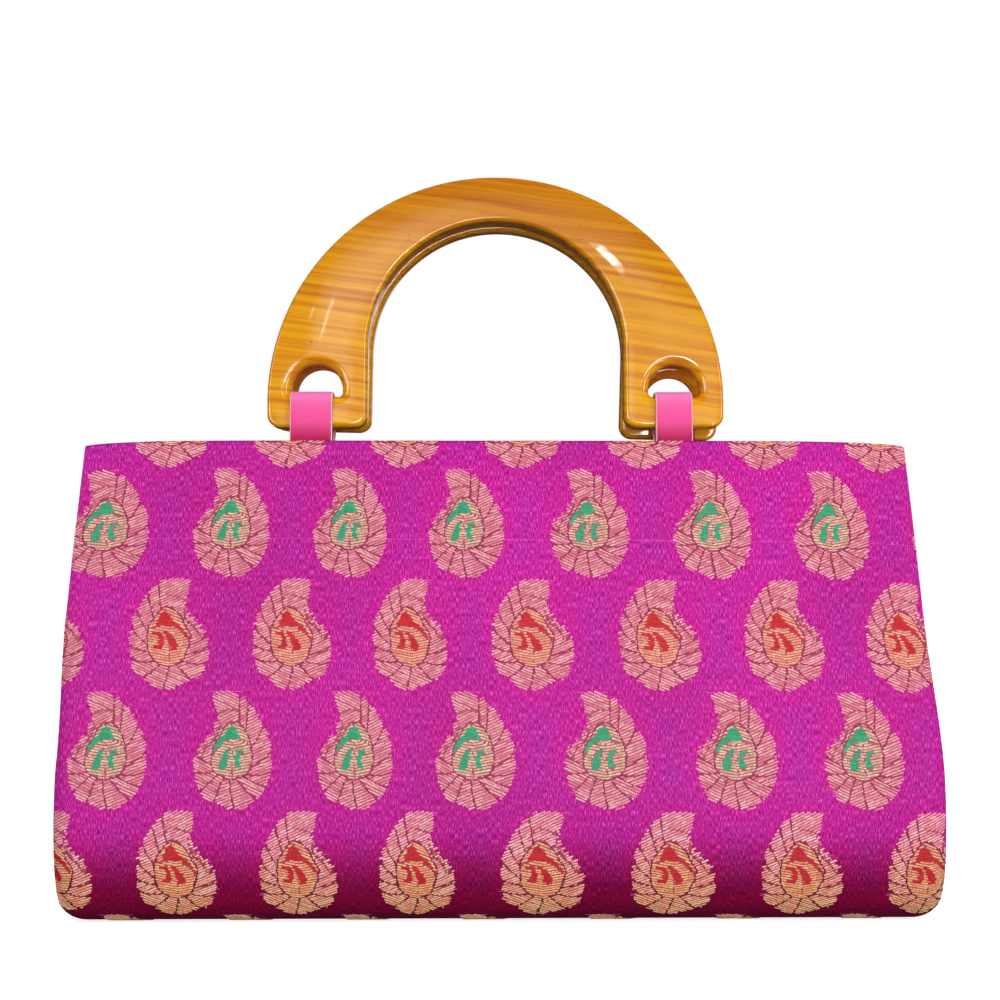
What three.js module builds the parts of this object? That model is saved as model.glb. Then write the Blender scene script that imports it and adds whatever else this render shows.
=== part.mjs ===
// A stiff brocade purse with two arched handles on strap loops.
// Millimetres, +Z up. The front faces -Y. The origin is on the ground, under the middle of the base.
import * as THREE from 'three';

// Body: one wall runs down the front, under the base and up the back
const BODY_HEIGHT = 156.5;
const TOP_WIDTH = 275.2;
const BULGE_WIDTH = 282.6;
const TOP_HALF_DEPTH = 14.4;
const BASE_HALF_DEPTH = 21;
const WALL = 2;
const PIECE_GAP = 0.3;

// Where the panel starts to turn under the base, and how roundly it turns
const TURN_HALF_DEPTH = 37.4;
const TURN_HEIGHT = 50;
const TURN_REACH = 22;
const BASE_REACH = 17;
const PANEL_BOW = 1.2;
const PANEL_STEPS = 7;
const TURN_STEPS = 10;

// Sections of the wall from the middle to a side: share of the half width, how far the top edge droops,
// and how far the wall is drawn in where the cloth is rolled round the edge
const WRAP_SECTIONS = [
  { share: 0, topDrop: 0, tuck: 0 },
  { share: 0.6, topDrop: 0.2, tuck: 0 },
  { share: 0.935, topDrop: 0.8, tuck: 0 },
  { share: 0.957, topDrop: 1.0, tuck: 0.35 },
  { share: 0.979, topDrop: 1.3, tuck: 1.2 },
  { share: 0.991, topDrop: 1.5, tuck: 2.3 },
  { share: 1, topDrop: 1.7, tuck: 3.8 },
];
const TOP_TUCK_SHARE = 0.2;

// Gussets: thin sides set inside the wall's edges, creased inwards down their middle
const GUSSET_SHARE = 0.972;
const GUSSET_WALL = 1.4;
const CREASE_AT_TOP = 8;
const CREASE_AT_BASE = 1.5;
const GUSSET_COLUMNS = [-1, -0.7, -0.35, 0, 0.35, 0.7, 1];

// Handles: flat arches, closer together at the top than at the feet
const HANDLE_RADIUS = 77.4;
const HANDLE_THICKNESS = 7.6;
const HANDLE_EDGE = 2.5;
const FOOT_DROP = 9;
const FOOT_CORNER = 4.5;
const FOOT_OFFSET = 6.6;
const FOOT_CLEARANCE = 4.5;
const ARCH_RADIUS = 43.5;
const ARCH_RISE = 18.6;
const HANDLE_TOP_GAP = 0.4;
const TOP_OFFSET = (HANDLE_THICKNESS + HANDLE_TOP_GAP) / 2;
const OUTER_STEPS = 40;
const ARCH_STEPS = 28;
const CORNER_STEPS = 4;

// A D-shaped slot in each foot leaves a bar below it for the strap
const SLOT_CENTRE = 60.8;
const SLOT_RADIUS = 8.75;
const SLOT_STRAIGHT = 2.1;
const SLOT_CORNER = 1.5;
const SLOT_STEPS = 14;
const BAR_HEIGHT = 10.8;

// Straps: folded over the bar, both layers going down inside the wall
const STRAP_WIDTH = 13.4;
const STRAP_THICKNESS = 1.2;
const STRAP_TAIL = 16;
const STRAP_CLEARANCE = 0.5;
const STRAP_BEND_STEPS = 5;
const STRAP_JOIN_SHARE = 0.4;

const FOOT_HEIGHT = BODY_HEIGHT + FOOT_CLEARANCE;
const HANDLE_HEIGHT = FOOT_DROP + HANDLE_RADIUS;
const LEAN = Math.atan((FOOT_OFFSET - TOP_OFFSET) / HANDLE_HEIGHT);

const brocade = new THREE.MeshStandardMaterial({ color: '#c42d98', roughness: 0.55, metalness: 0 });
const sideCloth = new THREE.MeshStandardMaterial({ color: '#b02588', roughness: 0.6, metalness: 0 });
const lacquer = new THREE.MeshStandardMaterial({ color: '#df9736', roughness: 0.15, metalness: 0 });
const leatherette = new THREE.MeshStandardMaterial({ color: '#f0609f', roughness: 0.5, metalness: 0 });

// A closed wall between two grids of points, with the outer grid facing out
function closedSheet(outer, inner) {
  const rows = outer.length;
  const columns = outer[0].length;
  const points = [...outer.flat(), ...inner.flat()];
  const innerStart = rows * columns;
  const at = (row, column) => row * columns + column;
  const faces = [];
  for (let row = 0; row < rows - 1; row += 1) {
    for (let column = 0; column < columns - 1; column += 1) {
      const a = at(row, column);
      const b = at(row, column + 1);
      const c = at(row + 1, column + 1);
      const d = at(row + 1, column);
      faces.push(a, b, c, a, c, d);
      faces.push(innerStart + a, innerStart + c, innerStart + b);
      faces.push(innerStart + a, innerStart + d, innerStart + c);
    }
  }
  const edge = (a, b) => faces.push(b, a, innerStart + a, b, innerStart + a, innerStart + b);
  for (let column = 0; column < columns - 1; column += 1) {
    edge(at(0, column), at(0, column + 1));
    edge(at(rows - 1, column + 1), at(rows - 1, column));
  }
  for (let row = 0; row < rows - 1; row += 1) {
    edge(at(row, columns - 1), at(row + 1, columns - 1));
    edge(at(row + 1, 0), at(row, 0));
  }
  const geometry = new THREE.BufferGeometry().setFromPoints(points);
  geometry.setIndex(faces);
  geometry.computeVertexNormals();
  return geometry;
}

function namedMesh(name, geometry, material) {
  const mesh = new THREE.Mesh(geometry, material);
  mesh.name = name;
  return mesh;
}

// The panel's curve from the top edge down to where it turns under, as half depth and height
function panelCurve() {
  const top = new THREE.Vector2(TOP_HALF_DEPTH, BODY_HEIGHT);
  const turn = new THREE.Vector2(TURN_HALF_DEPTH, TURN_HEIGHT);
  const chord = turn.clone().sub(top);
  const outward = new THREE.Vector2(-chord.y, chord.x).normalize();
  const crown = top.clone().add(turn).multiplyScalar(0.5).addScaledVector(outward, 2 * PANEL_BOW);
  return new THREE.QuadraticBezierCurve(top, crown, turn);
}

// The round turn from the panel into the flat base
function turnCurve() {
  const panel = panelCurve();
  const start = panel.getPoint(1);
  const leaving = start.clone().addScaledVector(panel.getTangent(1), TURN_REACH);
  const arriving = new THREE.Vector2(BASE_HALF_DEPTH + BASE_REACH, 0);
  return new THREE.CubicBezierCurve(start, leaving, arriving, new THREE.Vector2(BASE_HALF_DEPTH, 0));
}

// The whole outer profile from the front's top edge to the back's, with its outward normals
function wrapProfile() {
  const half = [...panelCurve().getPoints(PANEL_STEPS), ...turnCurve().getPoints(TURN_STEPS).slice(1)];
  const front = half.map((p) => new THREE.Vector2(-p.x, p.y));
  const back = half.map((p) => new THREE.Vector2(p.x, p.y)).reverse();
  const points = [...front, ...back];
  return points.map((point, index) => {
    const before = points[Math.max(index - 1, 0)];
    const after = points[Math.min(index + 1, points.length - 1)];
    const along = after.clone().sub(before).normalize();
    return { point, normal: new THREE.Vector2(along.y, -along.x) };
  });
}

const profile = wrapProfile();
const halfCount = profile.length / 2;

// The table's section at any share of the half width, to either side
function sectionAt(share) {
  const reach = Math.abs(share);
  const last = WRAP_SECTIONS.length - 1;
  const next = Math.min(Math.max(WRAP_SECTIONS.findIndex((row) => row.share >= reach), 1), last);
  const low = WRAP_SECTIONS[next - 1];
  const high = WRAP_SECTIONS[next];
  const part = (reach - low.share) / (high.share - low.share);
  const between = (key) => THREE.MathUtils.lerp(low[key], high[key], part);
  return { share, topDrop: between('topDrop'), tuck: between('tuck') };
}

function halfWidthAt(height) {
  const part = THREE.MathUtils.clamp((BODY_HEIGHT - height) / (BODY_HEIGHT - TURN_HEIGHT), 0, 1);
  return THREE.MathUtils.lerp(TOP_WIDTH, BULGE_WIDTH, part) / 2;
}

// A point of the wall, set in from its outer face
function wrapPoint(section, { point, normal }, inset) {
  const tuckShare = THREE.MathUtils.lerp(1, TOP_TUCK_SHARE, point.y / BODY_HEIGHT);
  const depth = inset + section.tuck * tuckShare;
  const height = (point.y - normal.y * depth) * (1 - section.topDrop / BODY_HEIGHT);
  return new THREE.Vector3(section.share * halfWidthAt(point.y), point.x - normal.x * depth, height);
}

function brocadeWrap() {
  const shares = WRAP_SECTIONS.map((row) => row.share);
  const across = [...shares.slice(1).reverse().map((share) => -share), ...shares];
  const layer = (inset) => across.map((share) => profile.map((p) => wrapPoint(sectionAt(share), p, inset)));
  return namedMesh('brocade_wrap', closedSheet(layer(0), layer(WALL)), brocade);
}

// side is -1 on the left and 1 on the right
function gusset(name, side) {
  const section = sectionAt(side * GUSSET_SHARE);
  const row = (index, inset) => {
    const front = wrapPoint(section, profile[index], WALL + PIECE_GAP);
    const crease = THREE.MathUtils.lerp(CREASE_AT_BASE, CREASE_AT_TOP, front.z / BODY_HEIGHT);
    return GUSSET_COLUMNS.map((column) => {
      const inward = inset + crease * (1 - Math.abs(column));
      return new THREE.Vector3(front.x - side * inward, side * column * front.y, front.z);
    });
  };
  const layer = (inset) => Array.from({ length: halfCount }, (_, index) => row(index, inset));
  return namedMesh(name, closedSheet(layer(0), layer(GUSSET_WALL)), sideCloth);
}

function arc(centreX, centreY, radius, from, to, steps) {
  return Array.from({ length: steps + 1 }, (_, step) => {
    const angle = THREE.MathUtils.lerp(from, to, step / steps);
    return new THREE.Vector2(centreX + radius * Math.cos(angle), centreY + radius * Math.sin(angle));
  });
}

// The handle's outline seen from the front, with the feet's undersides at height 0
function handleShape() {
  const quarter = Math.PI / 2;
  const outerCorner = HANDLE_RADIUS - FOOT_CORNER;
  const innerCorner = ARCH_RADIUS + FOOT_CORNER;
  const corner = (x, from) => arc(x, FOOT_CORNER, FOOT_CORNER, from, from - quarter, CORNER_STEPS);
  const outline = [
    ...arc(0, FOOT_DROP, HANDLE_RADIUS, Math.PI, 0, OUTER_STEPS),
    ...corner(outerCorner, 0),
    ...corner(innerCorner, -quarter),
    ...arc(0, FOOT_DROP + ARCH_RISE, ARCH_RADIUS, 0, Math.PI, ARCH_STEPS),
    ...corner(-innerCorner, 0),
    ...corner(-outerCorner, -quarter),
  ];
  const shape = new THREE.Shape(outline);
  const cornerReach = SLOT_RADIUS - SLOT_CORNER;
  const cornerHeight = BAR_HEIGHT + SLOT_CORNER;
  for (const centre of [-SLOT_CENTRE, SLOT_CENTRE]) {
    shape.holes.push(new THREE.Path([
      ...arc(centre, BAR_HEIGHT + SLOT_STRAIGHT, SLOT_RADIUS, 0, Math.PI, SLOT_STEPS),
      ...arc(centre - cornerReach, cornerHeight, SLOT_CORNER, Math.PI, 3 * quarter, CORNER_STEPS / 2),
      ...arc(centre + cornerReach, cornerHeight, SLOT_CORNER, 3 * quarter, 4 * quarter, CORNER_STEPS / 2),
    ]));
  }
  return shape;
}

// The arch stands on its foot line and leans towards the other handle
function handle(name) {
  const geometry = new THREE.ExtrudeGeometry(handleShape(), {
    depth: HANDLE_THICKNESS - 2 * HANDLE_EDGE,
    bevelThickness: HANDLE_EDGE,
    bevelSize: HANDLE_EDGE,
    bevelOffset: -HANDLE_EDGE,
    bevelSegments: 2,
  });
  geometry.translate(0, 0, HANDLE_EDGE - HANDLE_THICKNESS / 2);
  const mesh = namedMesh(name, geometry, lacquer);
  mesh.position.set(0, -FOOT_OFFSET, FOOT_HEIGHT);
  mesh.rotation.x = Math.PI / 2 - LEAN;
  return mesh;
}

// The strap's middle line: up inside the wall, over the bar and back down beside itself
function strapPath() {
  const wallSection = sectionAt(SLOT_CENTRE / (TOP_WIDTH / 2));
  const tailShare = STRAP_TAIL / (BODY_HEIGHT - profile[1].point.y);
  const insideWall = (edge, layer) => {
    const p = wrapPoint(wallSection, edge, WALL + PIECE_GAP + STRAP_THICKNESS / 2 + layer);
    return new THREE.Vector2(p.y, p.z);
  };
  const tail = (layer) => {
    const top = insideWall(profile[0], layer);
    return top.lerp(insideWall(profile[1], layer), tailShare);
  };
  const backLayer = STRAP_THICKNESS + PIECE_GAP;
  const barCentre = -FOOT_OFFSET + Math.tan(LEAN) * BAR_HEIGHT / 2;
  const bendRadius = HANDLE_EDGE + STRAP_CLEARANCE + STRAP_THICKNESS / 2;
  const bendReach = HANDLE_THICKNESS / 2 - HANDLE_EDGE;
  const bendHeight = FOOT_HEIGHT + BAR_HEIGHT - HANDLE_EDGE;
  const bend = (y, from) => arc(y, bendHeight, bendRadius, from, from - Math.PI / 2, STRAP_BEND_STEPS);
  const backRun = barCentre + bendReach + bendRadius;
  return [
    tail(0),
    insideWall(profile[0], 0),
    ...bend(barCentre - bendReach, Math.PI),
    ...bend(barCentre + bendReach, Math.PI / 2),
    new THREE.Vector2(backRun, FOOT_HEIGHT),
    new THREE.Vector2(backRun - bendRadius / 2, FOOT_HEIGHT - bendRadius / 2),
    tail(backLayer).lerp(insideWall(profile[0], backLayer), STRAP_JOIN_SHARE),
    tail(backLayer),
  ];
}

function strap(name, centre) {
  const path = strapPath();
  const edges = [centre - STRAP_WIDTH / 2, centre, centre + STRAP_WIDTH / 2];
  const layer = (side) => path.map((point, index) => {
    const before = path[Math.max(index - 1, 0)];
    const after = path[Math.min(index + 1, path.length - 1)];
    const along = after.clone().sub(before).normalize();
    const offset = side * STRAP_THICKNESS / 2;
    return edges.map((x) => new THREE.Vector3(x, point.x - along.y * offset, point.y + along.x * offset));
  });
  return namedMesh(name, closedSheet(layer(1), layer(-1)), leatherette);
}

// A handle with its two straps, made at the front. The back set is the same, turned round.
function handleSet(face, turn) {
  const set = new THREE.Group();
  const [lowX, highX] = turn === 0 ? ['left', 'right'] : ['right', 'left'];
  set.add(handle(`handle_${face}`));
  set.add(strap(`strap_${face}_${lowX}`, -SLOT_CENTRE));
  set.add(strap(`strap_${face}_${highX}`, SLOT_CENTRE));
  set.rotation.z = turn;
  return set;
}

const purse = new THREE.Group();
purse.add(brocadeWrap());
purse.add(gusset('gusset_left', -1));
purse.add(gusset('gusset_right', 1));
purse.add(handleSet('front', 0));
purse.add(handleSet('back', Math.PI));

export default purse;
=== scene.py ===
import math
from functools import partial

import bpy
import numpy as np
from mathutils import Matrix, Vector


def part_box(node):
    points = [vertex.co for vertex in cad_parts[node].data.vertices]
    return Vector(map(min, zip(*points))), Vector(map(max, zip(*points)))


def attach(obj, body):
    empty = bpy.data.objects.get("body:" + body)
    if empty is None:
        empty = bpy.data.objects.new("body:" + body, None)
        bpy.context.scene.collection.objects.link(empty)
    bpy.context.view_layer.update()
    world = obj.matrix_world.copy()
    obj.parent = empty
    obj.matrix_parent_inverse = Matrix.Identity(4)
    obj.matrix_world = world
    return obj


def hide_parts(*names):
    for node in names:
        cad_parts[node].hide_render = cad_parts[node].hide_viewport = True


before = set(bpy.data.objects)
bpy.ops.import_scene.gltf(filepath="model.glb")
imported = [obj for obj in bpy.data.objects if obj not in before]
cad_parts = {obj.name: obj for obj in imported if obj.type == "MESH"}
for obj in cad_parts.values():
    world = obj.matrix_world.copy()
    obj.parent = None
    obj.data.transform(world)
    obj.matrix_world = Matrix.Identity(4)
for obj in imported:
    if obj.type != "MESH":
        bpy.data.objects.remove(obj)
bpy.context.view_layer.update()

MM = 0.001
rng = np.random.default_rng(7)
FACES = {"front": -1, "back": 1}
SIDES = {"left": -1, "right": 1}
BEVEL_ANGLE = math.radians(60)

# The body, as in the solids: half depths and heights of the wall's outer line
WRAP_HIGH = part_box("brocade_wrap")[1]
BODY_HEIGHT = WRAP_HIGH.z
BULGE_HALF_WIDTH = WRAP_HIGH.x
TOP_HALF_WIDTH = 137.6 * MM
TOP_HALF_DEPTH = 14.4 * MM
TURN_HALF_DEPTH = 37.4 * MM
TURN_HEIGHT = 50 * MM
TURN_REACH = 22 * MM
BASE_HALF_DEPTH = 21 * MM
BASE_REACH = 17 * MM
PANEL_BOW = 1.2 * MM
WALL = 2 * MM
PIECE_GAP = 0.3 * MM
RIM_ROUND = 0.8 * MM
# Width of the painted shade along the cloth's top edge
TOP_EDGE_SHADE = 0.9 * MM

# Steps along the panel, the turn and the base, the cloth's columns and rows, the steps that measure a
# gusset's flat size, and how much the wall's columns crowd towards its sides
PROFILE_STEPS = (60, 60, 12)
WRAP_GRID = (150, 170)
GUSSET_GRID = (40, 80)
SIDE_CROWDING = 0.43

# The cloth's roll round the side edges, the top edge's droop towards them, and how the lower body has settled
ROLL_WIDTH = 9 * MM
ROLL_DEPTH = 3.8 * MM
ROLL_POWER = 2.6
TOP_ROLL_SHARE = 0.2
TOP_DROOP = 1.7 * MM
DROOP_POWER = 8
SIDE_SLIP = 1.6 * MM
SLIP_FROM = 100 * MM
SLIP_TO = 55 * MM
BULGE_SPREAD = 0.5 * MM

# Gussets, creased inwards down their middle
GUSSET_SHARE = 0.972
GUSSET_WALL = 1.4 * MM
CREASE_AT_TOP = 8 * MM
CREASE_AT_BASE = 1.5 * MM
CREASE_ROUND = 0.06

# Handles: flat arches with a rounded edge, and a slot in each foot
HANDLE_RADIUS = 77.4 * MM
HANDLE_THICKNESS = 7.6 * MM
OUTER_EDGE = 1.2 * MM
INNER_EDGE = 1.9 * MM
SLOT_EDGE = 3.2 * MM
EDGE_STEPS = 6
OUTER_STEPS = 90
ARCH_STEPS = 64
CORNER_STEPS = 8
SLOT_STEPS = 32
SLOT_CORNER_STEPS = 6
DOME = 2.6
RIPPLE = 0.015 * MM
FOOT_DROP = 9 * MM
FOOT_CORNER = 4.5 * MM
FOOT_OFFSET = 6.6 * MM
FOOT_HEIGHT = BODY_HEIGHT + 4.5 * MM
TOP_OFFSET = 4 * MM
ARCH_RADIUS = 43.5 * MM
ARCH_RISE = 18.6 * MM
SLOT_CENTRE = 60.8 * MM
SLOT_RADIUS = 8.75 * MM
SLOT_STRAIGHT = 2.1 * MM
SLOT_CORNER = 1.5 * MM
BAR_HEIGHT = 10.8 * MM
HANDLE_HEIGHT = FOOT_DROP + HANDLE_RADIUS
LEAN = math.atan((FOOT_OFFSET - TOP_OFFSET) / HANDLE_HEIGHT)
BAND_MIDDLE = (HANDLE_RADIUS + ARCH_RADIUS) / 2
BAND_CENTRE = FOOT_DROP + ARCH_RISE / 2
GRAIN_SLANT = math.radians(-8)
GRAIN_WANDER = 4 * MM

# How the back handle hangs in its straps: lower, tilted to the right and with its feet further back
BACK_DROP = 1.3 * MM
BACK_TILT = math.radians(1.3)
BACK_LEAN = math.radians(2)

# Straps, with each one's width and how far it lies to the right of its slot's middle
STRAP_THICKNESS = 1.2 * MM
STRAP_TAIL = 16 * MM
STRAP_CLEARANCE = 0.5 * MM
STRAP_EDGE = 0.35 * MM
STRAP_JOIN_SHARE = 0.6
STRAP_GRID = (6, 120)
BAR_EDGE = 2.5 * MM
FRONT_STRAPS = {-1: (14.3 * MM, -1.5 * MM), 1: (12.5 * MM, -0.5 * MM)}
BACK_STRAPS = {-1: (13 * MM, -2.5 * MM), 1: (13 * MM, 2 * MM)}

# The woven pattern: half-drop rows of leaves, down from the top edge
ROW_PITCH = 37 * MM
FIRST_ROW = -7.9 * MM
ROW_COUNT = 6
COLUMN_PITCH = 39.7 * MM
FIRST_COLUMN = 9.9 * MM
ROW_SHIFT = 21.25 * MM
ROW_TILT = 0.004
LEAF_CENTRE = np.array([0.2, 3.15])
LEAF_HALF_WIDTH = 13 * MM
LEAF_HALF_HEIGHT = 18.4 * MM
LEAF_REACH = 20 * MM
NEAR_REACH = 1.7
EDGE_MARGIN = 0.3 * MM
SMALLEST_EDGE = 1e-7
SMALLEST_RUN = 1e-9
WEFT_DOWN = 34.5 * MM
WEFT_TILT = 0.006
WEFT_DOT = 0.3 * MM
WEFT_DOT_PITCH = 0.65 * MM

# How far the leaves lie to the right of the even lattice: places across, and the drift there in each row
DRIFT_PLACES = np.array([-141, -120, -85, -45, -10, 36, 78, 120]) * MM
UPPER_DRIFT = [-2.0, 1.0, 1.2, 0.4, -1.8, -0.2, 0.8, 0.0]
LOWER_DRIFT = [1.6, 1.6, 0.8, -1.0, -3.5, -1.7, 0.1, 0.6]
ROW_DRIFTS = np.array([
    UPPER_DRIFT,
    UPPER_DRIFT,
    [0.6, 0.8, 1.0, 0.2, -2.1, -0.5, 0.8, 0.5],
    [0.2, 0.2, 0.4, -0.7, -3.2, -0.7, 1.3, 1.9],
    LOWER_DRIFT,
    LOWER_DRIFT,
]) * MM

# Camera, from the photograph's viewpoint
CAMERA_PLACE = (-4.3 * MM, -491.9 * MM, 117.4 * MM)
CAMERA_TURN = (92.28, 0.0, -0.68)
CAMERA_LENS = 51.4
CAMERA_SENSOR = 36
CAMERA_NEAR = 0.01

# How finely each finish is grained: the stretch of its noise along each axis
SLUBS = (3700, 560, 1)
SILK_WEAVE = (3200, 1300, 1)
SILK_CLOUDS = (16, 11, 1)
INNER_WEAVE = (1500, 1500, 1)
YARN_FLECKS = (3500, 3500, 3500)
GRAIN_DRIFT = (18, 18, 30)
GRAIN_BANDS = (10, 40, 680)
WOOD_SPECKS = (900, 900, 1100)
LACQUER_RIPPLES = (120, 120, 300)
LEATHER_PEBBLES = (2600, 2600, 2600)
RAW_FIBRES = (4000, 4000, 900)

# How far down the cloth faces where the painted shade starts to turn the silk maroon, and where it is darkest
TURNED_FROM = -0.03
TURNED_TO = -0.75

# Stage: a glowing floor, and a room that grows brighter upwards
FLOOR_SIZE = 40.0
FLOOR_GLOW = 0.75
FLOOR_DROP = 0.4 * MM
ROOM_HEIGHTS = (-0.25, 0.6)
ROOM_BELOW = 0.15
ROOM_ABOVE = 0.5
ROOM_MIRRORED = 0.04

# Softboxes that light the cloth: place, size and power
LIGHTS_AIM = (0, 0, 0.1)
SOFTBOXES = {
    "front_softbox": ((-0.1, -1.4, 0.35), (1.2, 0.8), 13),
    "top_softbox": ((0.1, -0.4, 1.4), (1.4, 1.0), 4),
    "right_softbox": ((1.0, -0.9, 0.5), (0.5, 0.8), 6),
    "back_softbox": ((0.2, 1.4, 0.45), (1.2, 0.8), 8),
}

# Shapes that only show as reflections: place, size, power and roll in degrees
REFLECTED_SHAPES = {
    "pale_behind": ((0.19, 1.5, 0.43), (0.34, 0.36), 0.3, 0),
    "low_right_pane": ((0.58, -1.35, -0.1), (0.12, 0.7), 5.3, 0),
    "left_pane": ((-0.93, -1.35, 0.12), (0.55, 0.6), 8, 0),
    "slanted_bar": ((0.165, -1.35, 0.068), (0.44, 0.16), 5.5, 43),
    "left_strip": ((-0.9, -0.7, 0.25), (0.14, 0.7), 4, 0),
    "right_strip": ((0.9, -0.7, 0.15), (0.14, 0.7), 4, 0),
}

# Pale walls that show as a veil over the wood: middle across, middle height, width, height and glow.
# Each is a few panels of different sizes, one behind the other, so that its edge is soft.
WALL_AWAY = 1.5
WALL_STEP = 0.01
WALL_SHARES = (0.8, 1.0, 1.2)
MIRRORED_WALLS = {
    "middle": (0.0, 0.37, 0.5, 0.68, 0.7),
    "left": (-0.17, 0.43, 0.28, 0.46, 1.5),
    "right": (0.42, 0.42, 0.42, 0.42, 0.9),
    "left_foot": (-0.43, 0.33, 0.24, 0.22, 1.3),
    "right_foot": (0.45, 0.33, 0.3, 0.22, 0.6),
}

# Small lit shapes, by the spot on the front handle where the camera sees each mirrored: across, down from the
# arch's top, size, glow and roll in degrees
MIRRORED_DISTANCE = 1.0
MIRRORED_SPOTS = {
    "thin_line_outer": (-62.5 * MM, 47 * MM, (0.006, 0.022), 6, -10),
    "thin_line_inner": (-57.5 * MM, 49 * MM, (0.007, 0.046), 10, -14),
    "window_right": (38.2 * MM, 27.5 * MM, (0.034, 0.018), 26, 40),
}


# Surface of the body

def bezier(points, count):
    """Points along the curve that the control points draw."""
    share = np.linspace(0, 1, count)[:, None]
    layers = [np.broadcast_to(np.array(point, float), (count, 2)) for point in points]
    while len(layers) > 1:
        layers = [a + (b - a) * share for a, b in zip(layers, layers[1:])]
    return layers[0]


def polar(radius, degrees):
    """Points at these distances and directions from the middle."""
    turn = np.radians(degrees)
    return np.stack([radius * np.cos(turn), radius * np.sin(turn)], axis=-1)


def half_profile():
    """The wall's outer line from the top edge to the middle of the base, as half depth and height."""
    top = np.array([TOP_HALF_DEPTH, BODY_HEIGHT])
    turn = np.array([TURN_HALF_DEPTH, TURN_HEIGHT])
    base = np.array([BASE_HALF_DEPTH, 0.0])
    chord = turn - top
    outward = np.array([-chord[1], chord[0]]) / np.linalg.norm(chord)
    crown = (top + turn) / 2 + outward * 2 * PANEL_BOW
    leaving = turn + (turn - crown) / np.linalg.norm(turn - crown) * TURN_REACH
    arriving = base + np.array([BASE_REACH, 0.0])
    panel_steps, turn_steps, base_steps = PROFILE_STEPS
    panel = bezier([top, crown, turn], panel_steps)
    rounded = bezier([turn, leaving, arriving, base], turn_steps)
    flat = bezier([base, (0.0, 0.0)], base_steps)
    return np.vstack([panel, rounded[1:], flat[1:]])


PROFILE = half_profile()
STEPS = np.linalg.norm(np.diff(PROFILE, axis=0), axis=1)
DOWN = np.concatenate([[0.0], np.cumsum(STEPS)])
HALF_LENGTH = DOWN[-1]
GUSSET_LENGTH = HALF_LENGTH - BASE_HALF_DEPTH
SLOPE = np.gradient(PROFILE, DOWN, axis=0)
OUTWARD = np.stack([-SLOPE[:, 1], SLOPE[:, 0]], axis=1)
OUTWARD /= np.linalg.norm(OUTWARD, axis=1)[:, None]


def height_at(down):
    """Height of the wall's outer line at a distance down from the top edge."""
    return np.interp(down, DOWN, PROFILE[:, 1])


def half_width(height):
    return np.interp(height, [TURN_HEIGHT, BODY_HEIGHT], [BULGE_HALF_WIDTH + BULGE_SPREAD, TOP_HALF_WIDTH])


def side_slip(height):
    """How far the lower body has settled to the right."""
    share = np.clip((SLIP_FROM - height) / (SLIP_FROM - SLIP_TO), 0, 1)
    return SIDE_SLIP * share ** 2 * (3 - 2 * share)


def wall_points(across, down, lift, face):
    """Places on the wall, across from its middle and down from its top edge. face is one of FACES."""
    depth = np.interp(down, DOWN, PROFILE[:, 0])
    height = height_at(down)
    out_depth = np.interp(down, DOWN, OUTWARD[:, 0])
    out_height = np.interp(down, DOWN, OUTWARD[:, 1])
    width = half_width(height)
    share = np.clip(np.abs(across) / width, 0, 1)
    rolled = np.clip(1 - (1 - share) * width / ROLL_WIDTH, 0, 1) ** ROLL_POWER
    tuck = ROLL_DEPTH * rolled * (1 - (1 - TOP_ROLL_SHARE) * height / BODY_HEIGHT)
    rise = lift - tuck
    droop = 1 - TOP_DROOP * share ** DROOP_POWER / BODY_HEIGHT
    side = (across if face < 0 else -across) + side_slip(height)
    return np.stack([side, face * (depth + out_depth * rise), (height + out_height * rise) * droop], axis=-1)


def gusset_edge(down):
    """Where a gusset meets the front wall's right edge."""
    return wall_points(GUSSET_SHARE * half_width(height_at(down)), down, -(WALL + PIECE_GAP), FACES["front"])


def crease_depth(height):
    return CREASE_AT_BASE + (CREASE_AT_TOP - CREASE_AT_BASE) * height / BODY_HEIGHT


def gusset_points(across, down, lift, side):
    """Places on a gusset, across from its crease and down from its top edge. side is one of SIDES."""
    slip = side_slip(height_at(down))
    edge = gusset_edge(down)
    reach = np.abs(edge[..., 1])
    column = np.clip(across / np.maximum(reach, MM), -1, 1)
    fold = 1 - np.sqrt(column ** 2 + CREASE_ROUND ** 2)
    x = edge[..., 0] - slip - crease_depth(edge[..., 2]) * fold + lift
    return np.stack([side * x + slip, side * column * reach, edge[..., 2]], axis=-1)


# Modelling helpers

def deselect_all():
    if bpy.context.mode != "OBJECT":
        bpy.ops.object.mode_set(mode="OBJECT")
    bpy.ops.object.select_all(action="DESELECT")


def make_active(piece):
    deselect_all()
    piece.select_set(True)
    bpy.context.view_layer.objects.active = piece


def name_piece(piece, name):
    piece.name = name
    piece.data.name = name


def apply_modifier(piece, kind, **settings):
    """Adds a modifier with these settings and applies it."""
    make_active(piece)
    modifier = piece.modifiers.new(kind.lower(), kind)
    for key, value in settings.items():
        setattr(modifier, key, value)
    bpy.ops.object.modifier_apply(modifier=modifier.name)


def bevel_edges(piece, width, **settings):
    limits = {"limit_method": "ANGLE", "angle_limit": BEVEL_ANGLE}
    apply_modifier(piece, "BEVEL", width=width, **limits, **settings)


def edit_whole(piece, *steps):
    """Runs these edit-mode operators, each on the whole mesh."""
    make_active(piece)
    bpy.ops.object.mode_set(mode="EDIT")
    for step in steps:
        bpy.ops.mesh.select_all(action="SELECT")
        step()
    bpy.ops.object.mode_set(mode="OBJECT")


def mesh_piece(name, points, faces):
    mesh = bpy.data.meshes.new(name)
    mesh.from_pydata(points.tolist(), [], faces.tolist())
    piece = bpy.data.objects.new(name, mesh)
    bpy.context.collection.objects.link(piece)
    return piece


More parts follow.
